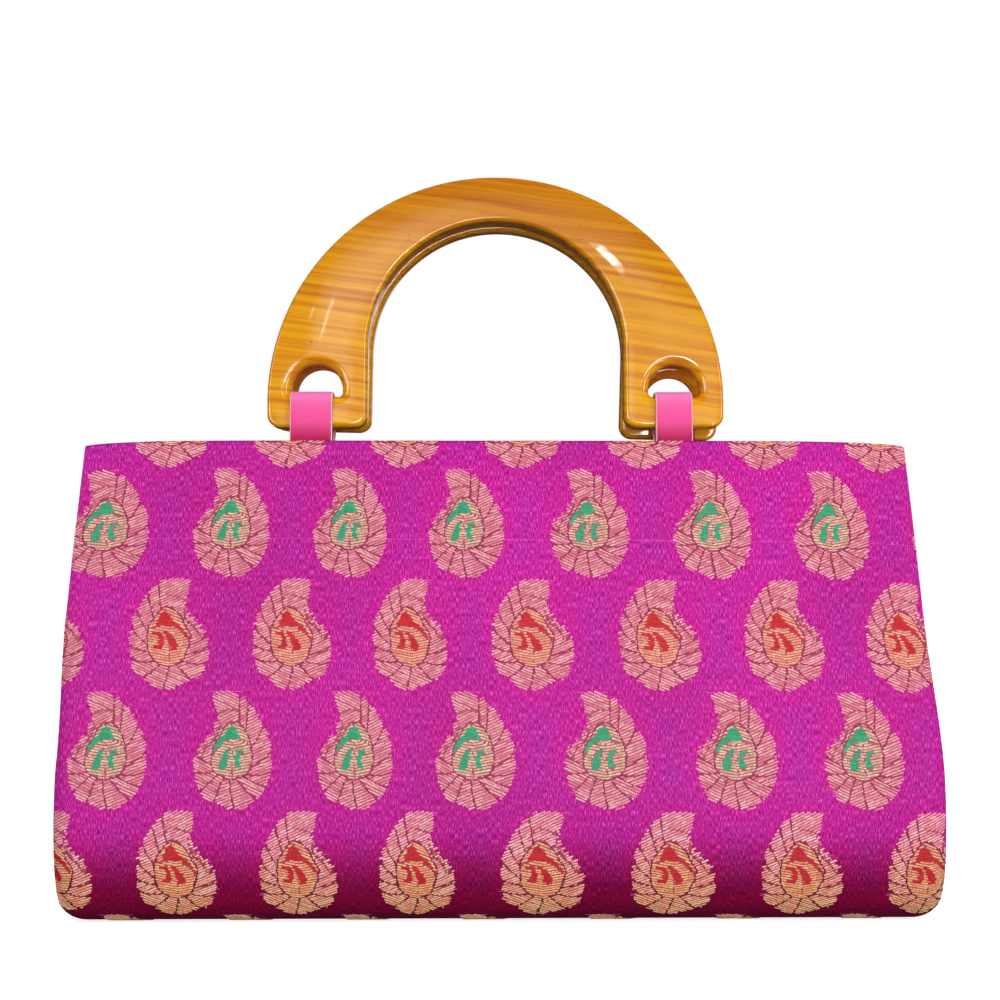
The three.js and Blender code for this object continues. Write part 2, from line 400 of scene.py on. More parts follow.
def ring_quads(rings, around):
    """Quads between closed rings of points, each ring after the one before."""
    near = np.arange(around)
    after = np.roll(near, -1)
    quads = np.stack([near, after, after + around, near + around], axis=1)
    return np.concatenate([quads + ring * around for ring in range(rings - 1)])


def corner_points(mesh):
    """The number of the point at each face's corner."""
    corners = np.empty(len(mesh.loops), np.int32)
    mesh.loops.foreach_get("vertex_index", corners)
    return corners


def grid_piece(name, grid, place, weave):
    """A grid moved onto a surface. place gives the points, weave the cloth's own measure as the UV map."""
    columns, rows = grid
    deselect_all()
    bpy.ops.mesh.primitive_grid_add(x_subdivisions=columns, y_subdivisions=rows, size=1)
    piece = bpy.context.object
    name_piece(piece, name)
    mesh = piece.data
    flat = np.empty(len(mesh.vertices) * 3, np.float32)
    mesh.vertices.foreach_get("co", flat)
    flat = flat.reshape(-1, 3).astype(float)
    across = flat[:, 0] + 0.5
    down = 0.5 - flat[:, 1]
    mesh.vertices.foreach_set("co", place(across, down).astype(np.float32).ravel())
    corners = corner_points(mesh)
    middle = down[corners].reshape(-1, 4).mean(axis=1).repeat(4)
    measure = weave(across[corners], down[corners], middle)
    mesh.uv_layers.active.name = "cloth"
    mesh.uv_layers["cloth"].data.foreach_set("uv", measure.astype(np.float32).ravel())
    mesh.update()
    bpy.ops.object.shade_smooth()
    return piece


def finish_piece(piece, slot, *nodes):
    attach(piece, "root")
    if nodes:
        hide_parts(*nodes)


# Materials

def screen_colour(red, green, blue):
    """A colour as a screen shows it, 0 to 255 each, turned to linear light."""
    def light(value):
        share = value / 255
        return share / 12.92 if share <= 0.04045 else ((share + 0.055) / 1.055) ** 2.4
    return (light(red), light(green), light(blue), 1.0)


def grey(value):
    return (value, value, value, 1.0)


class Nodes:
    """Short calls for adding and joining the nodes of a material or a world."""

    def __init__(self, holder):
        holder.use_nodes = True
        self.tree = holder.node_tree

    def add(self, kind, **settings):
        node = self.tree.nodes.new("ShaderNode" + kind)
        for key, value in settings.items():
            setattr(node, key, value)
        return node

    def join(self, source, target):
        self.tree.links.new(source, target)

    def feed(self, node, *values):
        """Joins or sets a node's inputs, in their order."""
        for value, socket in zip(values, node.inputs):
            if isinstance(value, bpy.types.NodeSocket):
                self.join(value, socket)
            else:
                socket.default_value = value
        return node

    def part(self, vector, axis):
        return self.feed(self.add("SeparateXYZ"), vector).outputs[axis]

    def rise(self, value, start, end, low=0.0, high=1.0):
        """From low to high, as a value goes from start to end."""
        return self.feed(self.add("MapRange"), value, start, end, low, high).outputs["Result"]


class Finish(Nodes):
    """A material in the making."""

    def __init__(self, name):
        self.material = bpy.data.materials.new(name)
        super().__init__(self.material)
        self.shader = self.tree.nodes["Principled BSDF"]

    def set(self, **values):
        """Numbers and colours that are the same all over the surface."""
        for key, value in values.items():
            self.shader.inputs[key.replace("_", " ")].default_value = value

    def colour(self, source):
        self.join(source, self.shader.inputs["Base Color"])

    def cloth_place(self):
        return self.add("UVMap", uv_map="cloth").outputs["UV"]

    def piece_place(self):
        return self.add("TexCoord").outputs["Object"]

    def stretched(self, source, scale, turn=(0, 0, 0)):
        mapping = self.add("Mapping")
        mapping.inputs["Scale"].default_value = scale
        mapping.inputs["Rotation"].default_value = turn
        self.join(source, mapping.inputs["Vector"])
        return mapping.outputs["Vector"]

    def noise(self, source, scale, detail, roughness=0.5):
        """Noise with its own stretch along each axis."""
        node = self.add("TexNoise")
        for key, value in (("Scale", 1.0), ("Detail", detail), ("Roughness", roughness)):
            node.inputs[key].default_value = value
        self.join(self.stretched(source, scale), node.inputs["Vector"])
        return node.outputs["Fac"]

    def reckon(self, operation, *values):
        return self.feed(self.add("Math", operation=operation), *values).outputs["Value"]

    def ramp(self, source, stops):
        """Colours along a value. stops gives the colour at each place."""
        node = self.add("ValToRGB")
        band = node.color_ramp
        while len(band.elements) < len(stops):
            band.elements.new(0.5)
        for element, (place, colour) in zip(band.elements, stops.items()):
            element.position = place
            element.color = colour
        self.join(source, node.inputs["Fac"])
        return node.outputs["Color"]

    def tones(self, source, stops):
        return self.ramp(source, {place: screen_colour(*colour) for place, colour in stops.items()})

    def greys(self, source, stops):
        return self.ramp(source, {place: grey(value) for place, value in stops.items()})

    def blend(self, share, first, second, mode="MIX"):
        return self.feed(self.add("MixRGB", blend_type=mode), share, first, second).outputs["Color"]

    def shaded(self, colour, shade):
        return self.blend(1.0, colour, shade, "MULTIPLY")

    def bump(self, height, strength, distance, socket="Normal"):
        node = self.add("Bump")
        node.inputs["Strength"].default_value = strength
        node.inputs["Distance"].default_value = distance
        self.join(height, node.inputs["Height"])
        self.join(node.outputs["Normal"], self.shader.inputs[socket])


def silk_ground():
    """Magenta silk, violet and pink: fine upright slubs, pinker beside the leaves, with painted shade: a dark
    line along the top edge and maroon where the cloth faces down.
    """
    finish = Finish("magenta_silk")
    cloth = finish.cloth_place()
    slubs = finish.noise(cloth, SLUBS, detail=2.0, roughness=0.6)
    violet = finish.tones(slubs, {
        0.30: (82, 6, 90),
        0.46: (161, 26, 140),
        0.57: (190, 40, 165),
        0.70: (238, 98, 216),
    })
    pink = finish.tones(slubs, {
        0.30: (109, 6, 78),
        0.46: (182, 18, 129),
        0.57: (204, 32, 155),
        0.70: (242, 90, 204),
    })
    near = finish.add("Attribute", attribute_name="near_leaf").outputs["Fac"]
    clouds = finish.noise(cloth, SILK_CLOUDS, detail=1.0)
    broad = finish.greys(clouds, {0.35: 0.91, 0.65: 1.07})
    ground = finish.shaded(finish.blend(near, violet, pink), broad)
    # Painted shade: a thin dark line along the top edge, where the cloth folds over
    top_edge_shade = finish.rise(finish.part(cloth, "Y"), -TOP_EDGE_SHADE, 0.0)
    ground = finish.shaded(ground, finish.greys(top_edge_shade, {0.0: 1.0, 1.0: 0.3}))
    # Painted shade: the silk darkens to maroon where the cloth faces down, away from the light
    facing = finish.part(finish.add("NewGeometry").outputs["Normal"], "Z")
    painted_underside_shade = finish.ramp(finish.rise(facing, TURNED_FROM, TURNED_TO), {
        0.0: grey(1.0),
        0.2: (0.66, 0.42, 0.42, 1.0),
        0.4: (0.46, 0.14, 0.20, 1.0),
        0.65: (0.46, 0.11, 0.14, 1.0),
        1.0: (0.34, 0.09, 0.13, 1.0),
    })
    finish.colour(finish.shaded(ground, painted_underside_shade))
    weave = finish.noise(cloth, SILK_WEAVE, detail=2.0, roughness=0.6)
    finish.bump(weave, strength=0.3, distance=0.1 * MM)
    finish.set(Roughness=0.5, Specular_IOR_Level=0.06)
    return finish.material


def inner_cloth():
    """The wall's hidden inner face: plain magenta cloth."""
    finish = Finish("plain_inner_cloth")
    weave = finish.noise(finish.cloth_place(), INNER_WEAVE, detail=2.0, roughness=0.6)
    finish.colour(finish.tones(weave, {0.3: (120, 14, 88), 0.7: (168, 30, 126)}))
    finish.bump(weave, strength=0.4, distance=0.15 * MM)
    finish.set(Roughness=0.75)
    return finish.material


def woven_yarn():
    """Yarn of the leaves: its colour is kept on the mesh, one shade for each float."""
    finish = Finish("leaf_yarn")
    yarn = finish.add("Attribute", attribute_name="yarn_colour").outputs["Color"]
    fleck = finish.noise(finish.piece_place(), YARN_FLECKS, detail=2.0, roughness=0.6)
    finish.colour(finish.shaded(yarn, finish.greys(fleck, {0.3: 0.82, 0.7: 1.0})))
    finish.bump(fleck, strength=0.3, distance=0.05 * MM)
    finish.set(Roughness=0.42, Specular_IOR_Level=0.2)
    return finish.material


def amber_lacquer():
    """Amber wood grain, duller towards the arch's top and lightly specked, under clear gloss lacquer."""
    finish = Finish("amber_lacquer")
    place = finish.piece_place()
    slanted = finish.stretched(place, (1, 1, 1), (0.0, GRAIN_SLANT, 0.0))
    wander = finish.add("VectorMath", operation="SCALE")
    wander.inputs[0].default_value = (0.0, 0.0, GRAIN_WANDER)
    finish.join(finish.noise(slanted, GRAIN_DRIFT, detail=1.0), wander.inputs["Scale"])
    moved = finish.feed(finish.add("VectorMath", operation="ADD"), slanted, wander.outputs["Vector"])
    grain = finish.tones(finish.noise(moved.outputs["Vector"], GRAIN_BANDS, detail=2.0), {
        0.28: (201, 114, 0),
        0.44: (218, 142, 0),
        0.56: (227, 156, 2),
        0.74: (236, 173, 14),
    })
    up_arch = finish.rise(finish.part(place, "Z"), FOOT_HEIGHT + FOOT_DROP, FOOT_HEIGHT + HANDLE_HEIGHT)
    warmth = finish.tones(up_arch, {0.2: (255, 255, 255), 0.9: (228, 210, 190)})
    specks = finish.noise(place, WOOD_SPECKS, detail=0.0)
    spots = finish.tones(specks, {0.865: (255, 255, 255), 0.885: (160, 110, 70)})
    finish.colour(finish.shaded(finish.shaded(grain, warmth), spots))
    domed_coat(finish, place)
    finish.set(Roughness=0.45, Specular_IOR_Level=0.05, Coat_Weight=1.0, Coat_Roughness=0.045, Coat_IOR=1.5)
    return finish.material


def domed_coat(finish, place):
    """The lacquer's face falls away from the arch's middle line towards its edges, with faint ripples."""
    raised = finish.reckon("SUBTRACT", finish.part(place, "Z"), FOOT_HEIGHT + BAND_CENTRE)
    above = finish.reckon("MAXIMUM", raised, 0.0)
    flat = finish.feed(finish.add("CombineXYZ"), finish.part(place, "X"), above)
    reach = finish.feed(finish.add("VectorMath", operation="LENGTH"), flat.outputs["Vector"])
    off_middle = finish.reckon("SUBTRACT", reach.outputs["Value"], BAND_MIDDLE)
    fall = finish.reckon("MULTIPLY", finish.reckon("MULTIPLY", off_middle, off_middle), -DOME)
    height = finish.reckon("MULTIPLY_ADD", finish.noise(place, LACQUER_RIPPLES, detail=1.0), RIPPLE, fall)
    finish.bump(height, strength=1.0, distance=1.0, socket="Coat Normal")


def strap_leatherette():
    """Pink leatherette, with a painted highlight over the bend and painted shade deeper down in the mouth."""
    finish = Finish("pink_leatherette")
    place = finish.piece_place()
    # Painted light: paler where the strap bends over the bar, darker low down where it faces down into the
    # mouth
    up_strap = finish.rise(finish.part(place, "Z"), BODY_HEIGHT, FOOT_HEIGHT + BAR_HEIGHT + STRAP_THICKNESS)
    painted_light_tone = finish.tones(up_strap, {
        0.05: (184, 24, 84),
        0.40: (244, 80, 152),
        0.70: (248, 94, 164),
        0.92: (238, 120, 180),
    })
    pebbles = finish.noise(place, LEATHER_PEBBLES, detail=2.0, roughness=0.6)
    finish.colour(finish.shaded(painted_light_tone, finish.greys(pebbles, {0.3: 0.88, 0.7: 1.0})))
    finish.bump(pebbles, strength=0.25, distance=0.06 * MM)
    finish.set(Roughness=0.36, Specular_IOR_Level=0.06)
    return finish.material


def strap_raw_edge():
    finish = Finish("pale_cut_edge")
    fibres = finish.noise(finish.piece_place(), RAW_FIBRES, detail=3.0, roughness=0.7)
    finish.colour(finish.tones(fibres, {0.3: (226, 170, 172), 0.7: (250, 216, 206)}))
    finish.bump(fibres, strength=0.5, distance=0.1 * MM)
    finish.set(Roughness=0.8)
    return finish.material


# The leaf's woven chart, in millimetres about the middle of its bulb, tip to the left

# stretch: across and up; the red leaf is turned over.
# edge and drop: degrees round from the right, and how far out the line lies.
# lines: degrees of each line between petals, at the drop's and at the leaf's edge, clockwise from the tip.
# slants: of the floats in each petal, clockwise from the tip, then in the edge's beads and the tip's neck.
# strokes: across, up and half width of the coloured shapes in the drop. arch: across and up of its line.
LEAVES = {
    "green": {
        "stretch": (0.99, 1.02),
        "edge": [
            (4, 12.4), (18, 12.7), (41, 13.8), (52, 14.4), (60, 15.6), (70, 17.8), (77, 19.0), (84, 19.6),
            (89, 20.8), (99, 21.2), (108, 21.8), (110, 17.4), (111, 13.6), (118, 12.1), (128, 10.9),
            (142, 10.8), (157, 11.7), (185, 12.0), (217, 12.9), (232, 14.1), (241, 13.9), (254, 12.9),
            (264, 14.0), (274, 14.6), (297, 14.2), (305, 13.5), (318, 13.9), (326, 13.0), (353, 12.6),
        ],
        "drop": [
            (-66, 5.5), (-33, 6.4), (-1, 6.3), (33, 7.0), (54, 8.6), (70, 10.5), (83, 11.8), (92, 12.1),
            (102, 11.3), (113, 9.3), (130, 8.0), (172, 6.8), (208, 6.7), (237, 5.6),
        ],
        "lines": [
            (81, 84), (66, 75), (33, 47), (-15, 11), (-42, -16), (-52, -36), (-75, -56), (-98, -87),
            (-119, -114), (-138, -137), (-150, -163), (-168, -190),
        ],
        "slants": (-24, 29, 25, 22, 20, 19, -24, 20, 22, -25, -26, -25, 24, 25),
        "strokes": [
            [(-0.3, 10.7, 0.3), (-0.5, 8.7, 1.8), (-0.6, 7.2, 2.7)],
            [(1.9, 7.6, 0.35), (-1.0, 8.0, 1.0), (-3.4, 6.7, 0.95), (-5.3, 4.5, 0.6), (-6.6, 2.6, 0.35)],
            [(-1.2, 3.7, 0.45), (-2.3, 1.7, 0.95), (-2.9, -0.5, 1.25), (-3.0, -1.5, 1.2)],
            [(3.5, 2.8, 0.4), (1.7, 2.7, 0.6), (1.3, 1.0, 0.8), (1.6, -0.8, 0.9), (2.4, -1.8, 0.6)],
        ],
        "arch": [(-6.8, 1.3), (-4.4, 4.7), (-2.0, 6.4), (1.0, 6.7), (4.6, 5.4)],
    },
    "red": {
        "stretch": (-0.936, 0.98),
        "edge": [
            (7, 13.4), (26, 14.2), (43, 15.8), (53, 16.6), (63, 18.2), (75, 20.3), (79, 21.4), (92, 21.4),
            (107, 21.9), (109, 17.6), (110, 14.2), (119, 12.2), (136, 11.2), (152, 12.3), (170, 12.9),
            (186, 13.0), (205, 13.8), (225, 14.6), (246, 13.4), (258, 13.7), (276, 15.2), (286, 14.9),
            (301, 13.9), (323, 14.6), (335, 13.9), (350, 13.2),
        ],
        "drop": [
            (12, 7.6), (43, 9.6), (51, 9.9), (65, 10.8), (83, 12.8), (100, 11.0), (130, 7.8), (164, 7.7),
            (170, 7.0), (197, 6.3), (231, 7.0), (267, 7.3), (303, 7.4), (334, 7.5),
        ],
        "lines": [
            (74, 77), (56, 64), (29, 44), (-2, 23), (-21, -2), (-50, -20), (-66, -51), (-91, -82),
            (-108, -122), (-126, -152), (-148, -175), (-173, -192),
        ],
        "slants": (-25, -24, -25, -22, -21, -20, 24, 22, 22, -20, -21, -22, -22, -22),
        "strokes": [
            [(2.0, 11.0, 0.3), (1.9, 8.8, 1.8), (1.8, 7.2, 2.9)],
            [(4.3, 7.3, 0.3), (1.6, 7.5, 0.7), (-0.8, 6.9, 0.75), (-3.6, 5.2, 0.5), (-6.4, 1.7, 0.4)],
            [(1.7, 4.3, 0.3), (0.6, 3.0, 0.75), (-0.8, 0.8, 1.3), (-1.6, -0.9, 1.45)],
            [(5.6, 3.7, 0.35), (3.6, 3.6, 0.6), (2.9, 1.7, 0.85), (2.9, -0.6, 0.9), (4.9, -1.2, 0.4)],
        ],
        "arch": [(-7.0, 0.6), (-4.0, 4.1), (-1.0, 5.9), (3.0, 6.1), (7.0, 4.9)],
    },
}

# The chart: where the tip ends and stays sharp, in degrees, and the shape of the petals, neck and beads
CHART_STEP = 0.1
CHART_REACH = 25
TIP_SIDE = 109.5
TIP_SHARP = (84, 122)
TIP_BLEND = 12
EDGE_ROUND = 7
SCALLOP = 0.8
SCALLOP_BASE = 0.6
SCALLOP_POWER = 4
SWIRL = 0.75
NECK_SHARE = 0.42
PETAL_GAP = 0.4
BEAD_TURN = 9.5
BEAD_FILL = 0.33
BEAD_DEPTH = 2.1

# Numbers of the drop's regions, after those of the petals: the coloured strokes, and over and under the arch
COLOURED = 20
OVER_LEFT, OVER_RIGHT, UNDER_LEFT, UNDER_RIGHT = range(COLOURED + 1, COLOURED + 5)
DROP_SLANTS = {OVER_LEFT: 22, OVER_RIGHT: -20, UNDER_LEFT: -10, UNDER_RIGHT: 11}
COLOURED_SLANT = -6
STROKES_OVER_ARCH = 2
ARCH_LINE = 0.2

# The floats, in millimetres: spacing, width, height, length, and how irregular they are
FLOAT_PITCH = 0.86
COLOURED_PITCH = 0.45
FLOAT_WIDTH = 0.54
FLOAT_RELIEF = 0.2
FLOAT_LIFT = 0.1
FLOAT_LENGTHS = (1.2, 2.8)
DROP_LENGTHS = (0.9, 1.9)
FLOAT_BREAK = 0.12
SHORTEST_FLOAT = 3 * FLOAT_BREAK
FLOAT_TILT = math.radians(4)
ROW_JITTER = 0.05
RAGGED = 0.28
LEAF_VARIANTS = 3

# The patch under the floats, the lines over them and the loose weft ends. Reliefs are shares of a float's.
UNDERLAY_LIFT = 0.08
UNDERLAY_INSET = 0.6
UNDERLAY_RINGS = 6
SPOKE_TURN = 8
LINE_WIDTH = 0.46
LINE_RELIEF = 1.25
LINE_STEPS = 6
BEAD_LINE_TURN = 4
DROP_LINE_TURN = 9
STRAY_WIDTH = 0.16
STRAY_RELIEF = 0.4
STRAY_COUNT = 4
STRAY_ANGLES = np.r_[-60:60, 130:230]
STRAY_ROOT = 0.6
STRAY_REACH = (0.5, 1.6)
TIP_THREAD = (-7.6, 21.4)
TIP_THREAD_REACH = (0, 4)

# Screen colours of the yarns: each float lies between the two
YARN = {
    "cream": ((226, 116, 142), (250, 184, 190)),
    "green": ((40, 150, 110), (56, 180, 132)),
    "red": ((188, 18, 34), (218, 36, 50)),
    "green_drop": ((206, 162, 136), (244, 214, 176)),
    "red_drop": ((236, 146, 116), (254, 192, 152)),
    "green_under": ((176, 75, 101), (184, 81, 107)),
    "red_under": ((178, 71, 95), (186, 77, 101)),
    "line": ((142, 16, 70), (168, 38, 94)),
    "stray": ((230, 94, 180), (244, 116, 200)),
    "weft": ((196, 84, 168), (248, 132, 214)),
}

# Painted light: the same low on the cloth, with a painted highlight where the light catches the floats, and
# where it turns under, with a painted gold reflection on the yarns and painted shade that makes the lines go
# dark.
# YARN_TURNS: how far down the first colours end and the others are reached.
LOW_HIGHLIT_YARN = {
    "cream": ((252, 136, 158), (255, 206, 212)),
    "red_drop": ((246, 160, 124), (255, 208, 160)),
}
TURNED_GLINT_SHADE_YARN = {
    "cream": ((255, 160, 118), (255, 216, 166)),
    "green_drop": ((226, 160, 104), (255, 220, 152)),
    "red_drop": ((246, 160, 104), (255, 206, 142)),
    "green_under": ((184, 70, 62), (192, 76, 66)),
    "red_under": ((184, 70, 62), (192, 76, 66)),
    "line": ((66, 2, 20), (92, 8, 34)),
}
YARN_TURNS = (112 * MM, 130 * MM, 154 * MM)


def yarn_shades(yarn, count):
    """Colours of this many floats: on the upright cloth, with a painted highlight low on it, and with painted
    reflection and shade where it turns under.
    """
    mix = rng.random((count, 1))
    shades = []
    for yarns in (YARN, LOW_HIGHLIT_YARN, TURNED_GLINT_SHADE_YARN):
        low, high = (np.array(screen_colour(*end)[:3]) for end in yarns.get(yarn, YARN[yarn]))
        shades.append(low + (high - low) * mix)
    return np.stack(shades, axis=1)


def painted_light_colours(shades, down):
    """The colours at a distance down from the cloth's top edge, with the painted highlight, reflection and
    shade mixed in.
    """
    turn = np.interp(down, YARN_TURNS, (0, 1, 2))[:, None]
    low = np.clip(turn, 0, 1)
    under = np.clip(turn - 1, 0, 1)
    return shades[:, 0] * (1 - low) + shades[:, 1] * (low - under) + shades[:, 2] * under


def inside_stroke(x, y, rows):
    """Where a tapered stroke covers the chart."""
    covered = np.zeros(x.shape, bool)
    for (x0, y0, r0), (x1, y1, r1) in zip(rows, rows[1:]):
        dx, dy = x1 - x0, y1 - y0
        share = np.clip(((x - x0) * dx + (y - y0) * dy) / (dx * dx + dy * dy), 0, 1)
        distance = np.hypot(x - x0 - share * dx, y - y0 - share * dy)
        covered |= distance < r0 + (r1 - r0) * share
    return covered


def line_radius(rows, angle):
    table = np.array(rows, float)
    return np.interp(angle, table[:, 0], table[:, 1], period=360)


def edge_radius(leaf, angle):
    """How far out a leaf's outer line lies, rounded off except at the tip."""
    degrees = np.arange(360)
    radius = line_radius(leaf["edge"], degrees)
    shifts = range(-EDGE_ROUND, EDGE_ROUND + 1)
    rounded = sum(np.roll(radius, shift) for shift in shifts) / len(shifts)
    off_tip = np.maximum(TIP_SHARP[0] - degrees, degrees - TIP_SHARP[1])
    radius += (rounded - radius) * np.clip(off_tip / TIP_BLEND, 0, 1)
    return np.interp(angle, degrees, radius, period=360)


def scallops(leaf, turn):
    """How far each petal's rounded end stands out from the outer line, or stays in between two petals."""
    starts = np.concatenate([[0.0], TIP_SIDE - np.array(leaf["lines"], float)[:, 1]])
    petal = np.clip(np.searchsorted(starts, turn, side="right") - 1, 0, len(starts) - 1)
    widths = np.append(np.diff(starts), BEAD_TURN)[petal]
    within = ((turn - starts[petal]) / widths) % 1
    return SCALLOP * (SCALLOP_BASE - (2 * within - 1) ** SCALLOP_POWER)


def leaf_chart(leaf):
    """Which petal, bead, drop or coloured stroke each point of the chart belongs to; 0 has no yarn on top."""
    places = np.arange(-CHART_REACH, CHART_REACH, CHART_STEP)
    x, y = np.meshgrid(places, places)
    radius = np.hypot(x, y)
    angle = np.degrees(np.arctan2(y, x))
    turn = (TIP_SIDE - angle) % 360
    outer = edge_radius(leaf, angle) + scallops(leaf, turn)
    inner = line_radius(leaf["drop"], angle)
    share = np.clip((radius - inner) / (outer - inner), 0, 1)
    lines = TIP_SIDE - np.array(leaf["lines"], float)
    bounds = lines[:, 0] + (lines[:, 1] - lines[:, 0]) * share[..., None] ** SWIRL
    petal = (turn[..., None] > bounds).sum(axis=-1)
    off_line = np.radians(np.abs(turn[..., None] - bounds).min(axis=-1)) * radius
    in_petal = (radius > inner + PETAL_GAP / 2) & (radius < outer) & (off_line > PETAL_GAP / 2)
    chart = np.where(in_petal, petal + 1, 0)
    beads = len(lines) + 1
    between = np.abs((turn % BEAD_TURN) / BEAD_TURN - 0.5) > BEAD_FILL
    deep = outer - radius
    chart[(chart == beads) & between & (deep < BEAD_DEPTH)] = 0
    chart[(chart == beads) & (np.abs(deep - BEAD_DEPTH) < PETAL_GAP / 2)] = 0
    neck = (chart == 1) & (share < NECK_SHARE)
    chart[neck] = beads + 1
    chart[(petal == 0) & (np.abs(share - NECK_SHARE) * (outer - inner) < PETAL_GAP / 2)] = 0
    in_drop = radius < inner - PETAL_GAP / 2
    arch = np.array(leaf["arch"])
    over_arch = y > np.interp(x, arch[:, 0], arch[:, 1])
    peak = leaf["strokes"][0][0][0]
    chart[in_drop & over_arch & (x < peak)] = OVER_LEFT
    chart[in_drop & over_arch & (x >= peak)] = OVER_RIGHT
    chart[in_drop & ~over_arch & (x < 0)] = UNDER_LEFT
    chart[in_drop & ~over_arch & (x >= 0)] = UNDER_RIGHT
    arch_line = [(*spot, ARCH_LINE) for spot in leaf["arch"]]
    chart[in_drop & inside_stroke(x, y, arch_line)] = 0
    for number, rows in enumerate(leaf["strokes"]):
        within = in_drop & over_arch if number < STROKES_OVER_ARCH else in_drop
        chart[within & inside_stroke(x, y, rows)] = COLOURED
    return chart


def leaf_lines(leaf):
    """Short strips along the lines between the petals and round the drop."""
    paths = []
    share = np.linspace(0, 1, LINE_STEPS + 1)
    for inner, outer in leaf["lines"]:
        angle = inner + (outer - inner) * share ** SWIRL
        low = line_radius(leaf["drop"], angle)
        paths.append((angle, low + (edge_radius(leaf, angle) - low) * share))
    beaded = np.arange(TIP_SIDE + BEAD_LINE_TURN, leaf["lines"][-1][1] + 360, BEAD_LINE_TURN)
    paths.append((beaded, edge_radius(leaf, beaded) - BEAD_DEPTH))
    around = np.arange(0, 361, DROP_LINE_TURN)
    paths.append((around, line_radius(leaf["drop"], around)))
    strips = []
    for angle, radius in paths:
        points = polar(radius, angle)
        strips.extend(zip(points, points[1:]))
    return strips


def floats_in(chart, number, slant, pitch, lengths=FLOAT_LENGTHS):
    """Straight floats that fill one region of the chart, as start and end points, broken at odd lengths."""
    along = polar(1, slant)
    aside = np.array([-along[1], along[0]])
    walk = np.arange(-CHART_REACH, CHART_REACH, CHART_STEP)
    found = []
    for offset in np.arange(-CHART_REACH, CHART_REACH, pitch):
        base = (offset + rng.normal(0, ROW_JITTER)) * aside
        cell = np.round((base + walk[:, None] * along + CHART_REACH) / CHART_STEP).astype(int)
        cell = np.clip(cell, 0, len(chart) - 1)
        inside = np.concatenate([[0], (chart[cell[:, 1], cell[:, 0]] == number).astype(int), [0]])
        starts = np.flatnonzero(np.diff(inside) == 1)
        ends = np.flatnonzero(np.diff(inside) == -1) - 1
        for region in zip(walk[starts], walk[ends]):
            low, high = region + rng.normal(0, RAGGED, 2)
            while high - low > SHORTEST_FLOAT:
                reach = low + rng.uniform(*lengths)
                if high - reach < lengths[0] / 2:
                    reach = high
                tilt = aside * math.tan(rng.normal(0, FLOAT_TILT)) * (reach - low) / 2
                found.append([base + low * along - tilt, base + reach * along + tilt])
                low = reach + FLOAT_BREAK
    return found


def leaf_strays(leaf):
    """Loose weft ends: a thin one along the top of the tip, and short ones off the sides."""
    strays = [[TIP_THREAD, (rng.uniform(*TIP_THREAD_REACH), TIP_THREAD[1])]]
    for angle in rng.choice(STRAY_ANGLES, STRAY_COUNT, replace=False):
        start = polar(edge_radius(leaf, angle), angle)
        out = math.copysign(rng.uniform(*STRAY_REACH), start[0])
        strays.append([start - (math.copysign(STRAY_ROOT, out), 0), start + (out, 0)])
    return strays


def leaf_floats(kind):
    """All floats of one leaf: end points, colours, widths and how high each stands."""
    leaf = LEAVES[kind]
    chart = leaf_chart(leaf)
    bundles = []
    for number, slant in enumerate(leaf["slants"]):
        bundles.append((floats_in(chart, number + 1, slant, FLOAT_PITCH), "cream", FLOAT_WIDTH, 1.0))
    for number, slant in DROP_SLANTS.items():
        found = floats_in(chart, number, slant, FLOAT_PITCH, DROP_LENGTHS)
        bundles.append((found, kind + "_drop", FLOAT_WIDTH, 1.0))
    bundles.append((floats_in(chart, COLOURED, COLOURED_SLANT, COLOURED_PITCH), kind, FLOAT_WIDTH, 1.0))
    bundles.append((leaf_lines(leaf), "line", LINE_WIDTH, LINE_RELIEF))
    bundles.append((leaf_strays(leaf), "stray", STRAY_WIDTH, STRAY_RELIEF))
    ends = np.concatenate([np.array(found, float) for found, *_ in bundles])
    shades = np.concatenate([yarn_shades(yarn, len(found)) for found, yarn, *_ in bundles])
    shapes = np.concatenate([np.tile(shape, (len(found), 1)) for found, _, *shape in bundles])
    return ends, shades, shapes


LEAF_KINDS = {kind: [leaf_floats(kind) for _ in range(LEAF_VARIANTS)] for kind in LEAVES}


def leaf_underlay(kind):
    """Rings of points under one leaf's floats and the quads between them."""
    spokes = np.arange(0, 360, SPOKE_TURN)
    outer = edge_radius(LEAVES[kind], spokes) - UNDERLAY_INSET
    rings = np.linspace(0, 1, UNDERLAY_RINGS)
    points = polar(outer * rings[:, None], spokes).reshape(-1, 2)
    return points, np.roll(ring_quads(len(rings), len(spokes))[:, ::-1], 1, axis=1)


def lattice(reach, length):
    """Each leaf's middle on the even lattice, its kind and its row's drift."""
    columns = int(reach / COLUMN_PITCH) + 2
    for row in range(ROW_COUNT):
        offset = (FIRST_COLUMN + row * ROW_SHIFT) % COLUMN_PITCH
        for column in range(-columns, columns + 1):
            across = offset + column * COLUMN_PITCH
            down = FIRST_ROW + row * ROW_PITCH + ROW_TILT * across
            if abs(across) < reach + LEAF_REACH and down < length + LEAF_REACH:
                yield np.array([across, down]), "green" if row % 2 else "red", ROW_DRIFTS[row]


def drifted(places, drift):
    """Places on the cloth, moved from the even lattice to where the weave has drifted."""
    moved = np.array(places)
    moved[..., 0] += np.interp(moved[..., 0], DRIFT_PLACES, drift)
    return moved


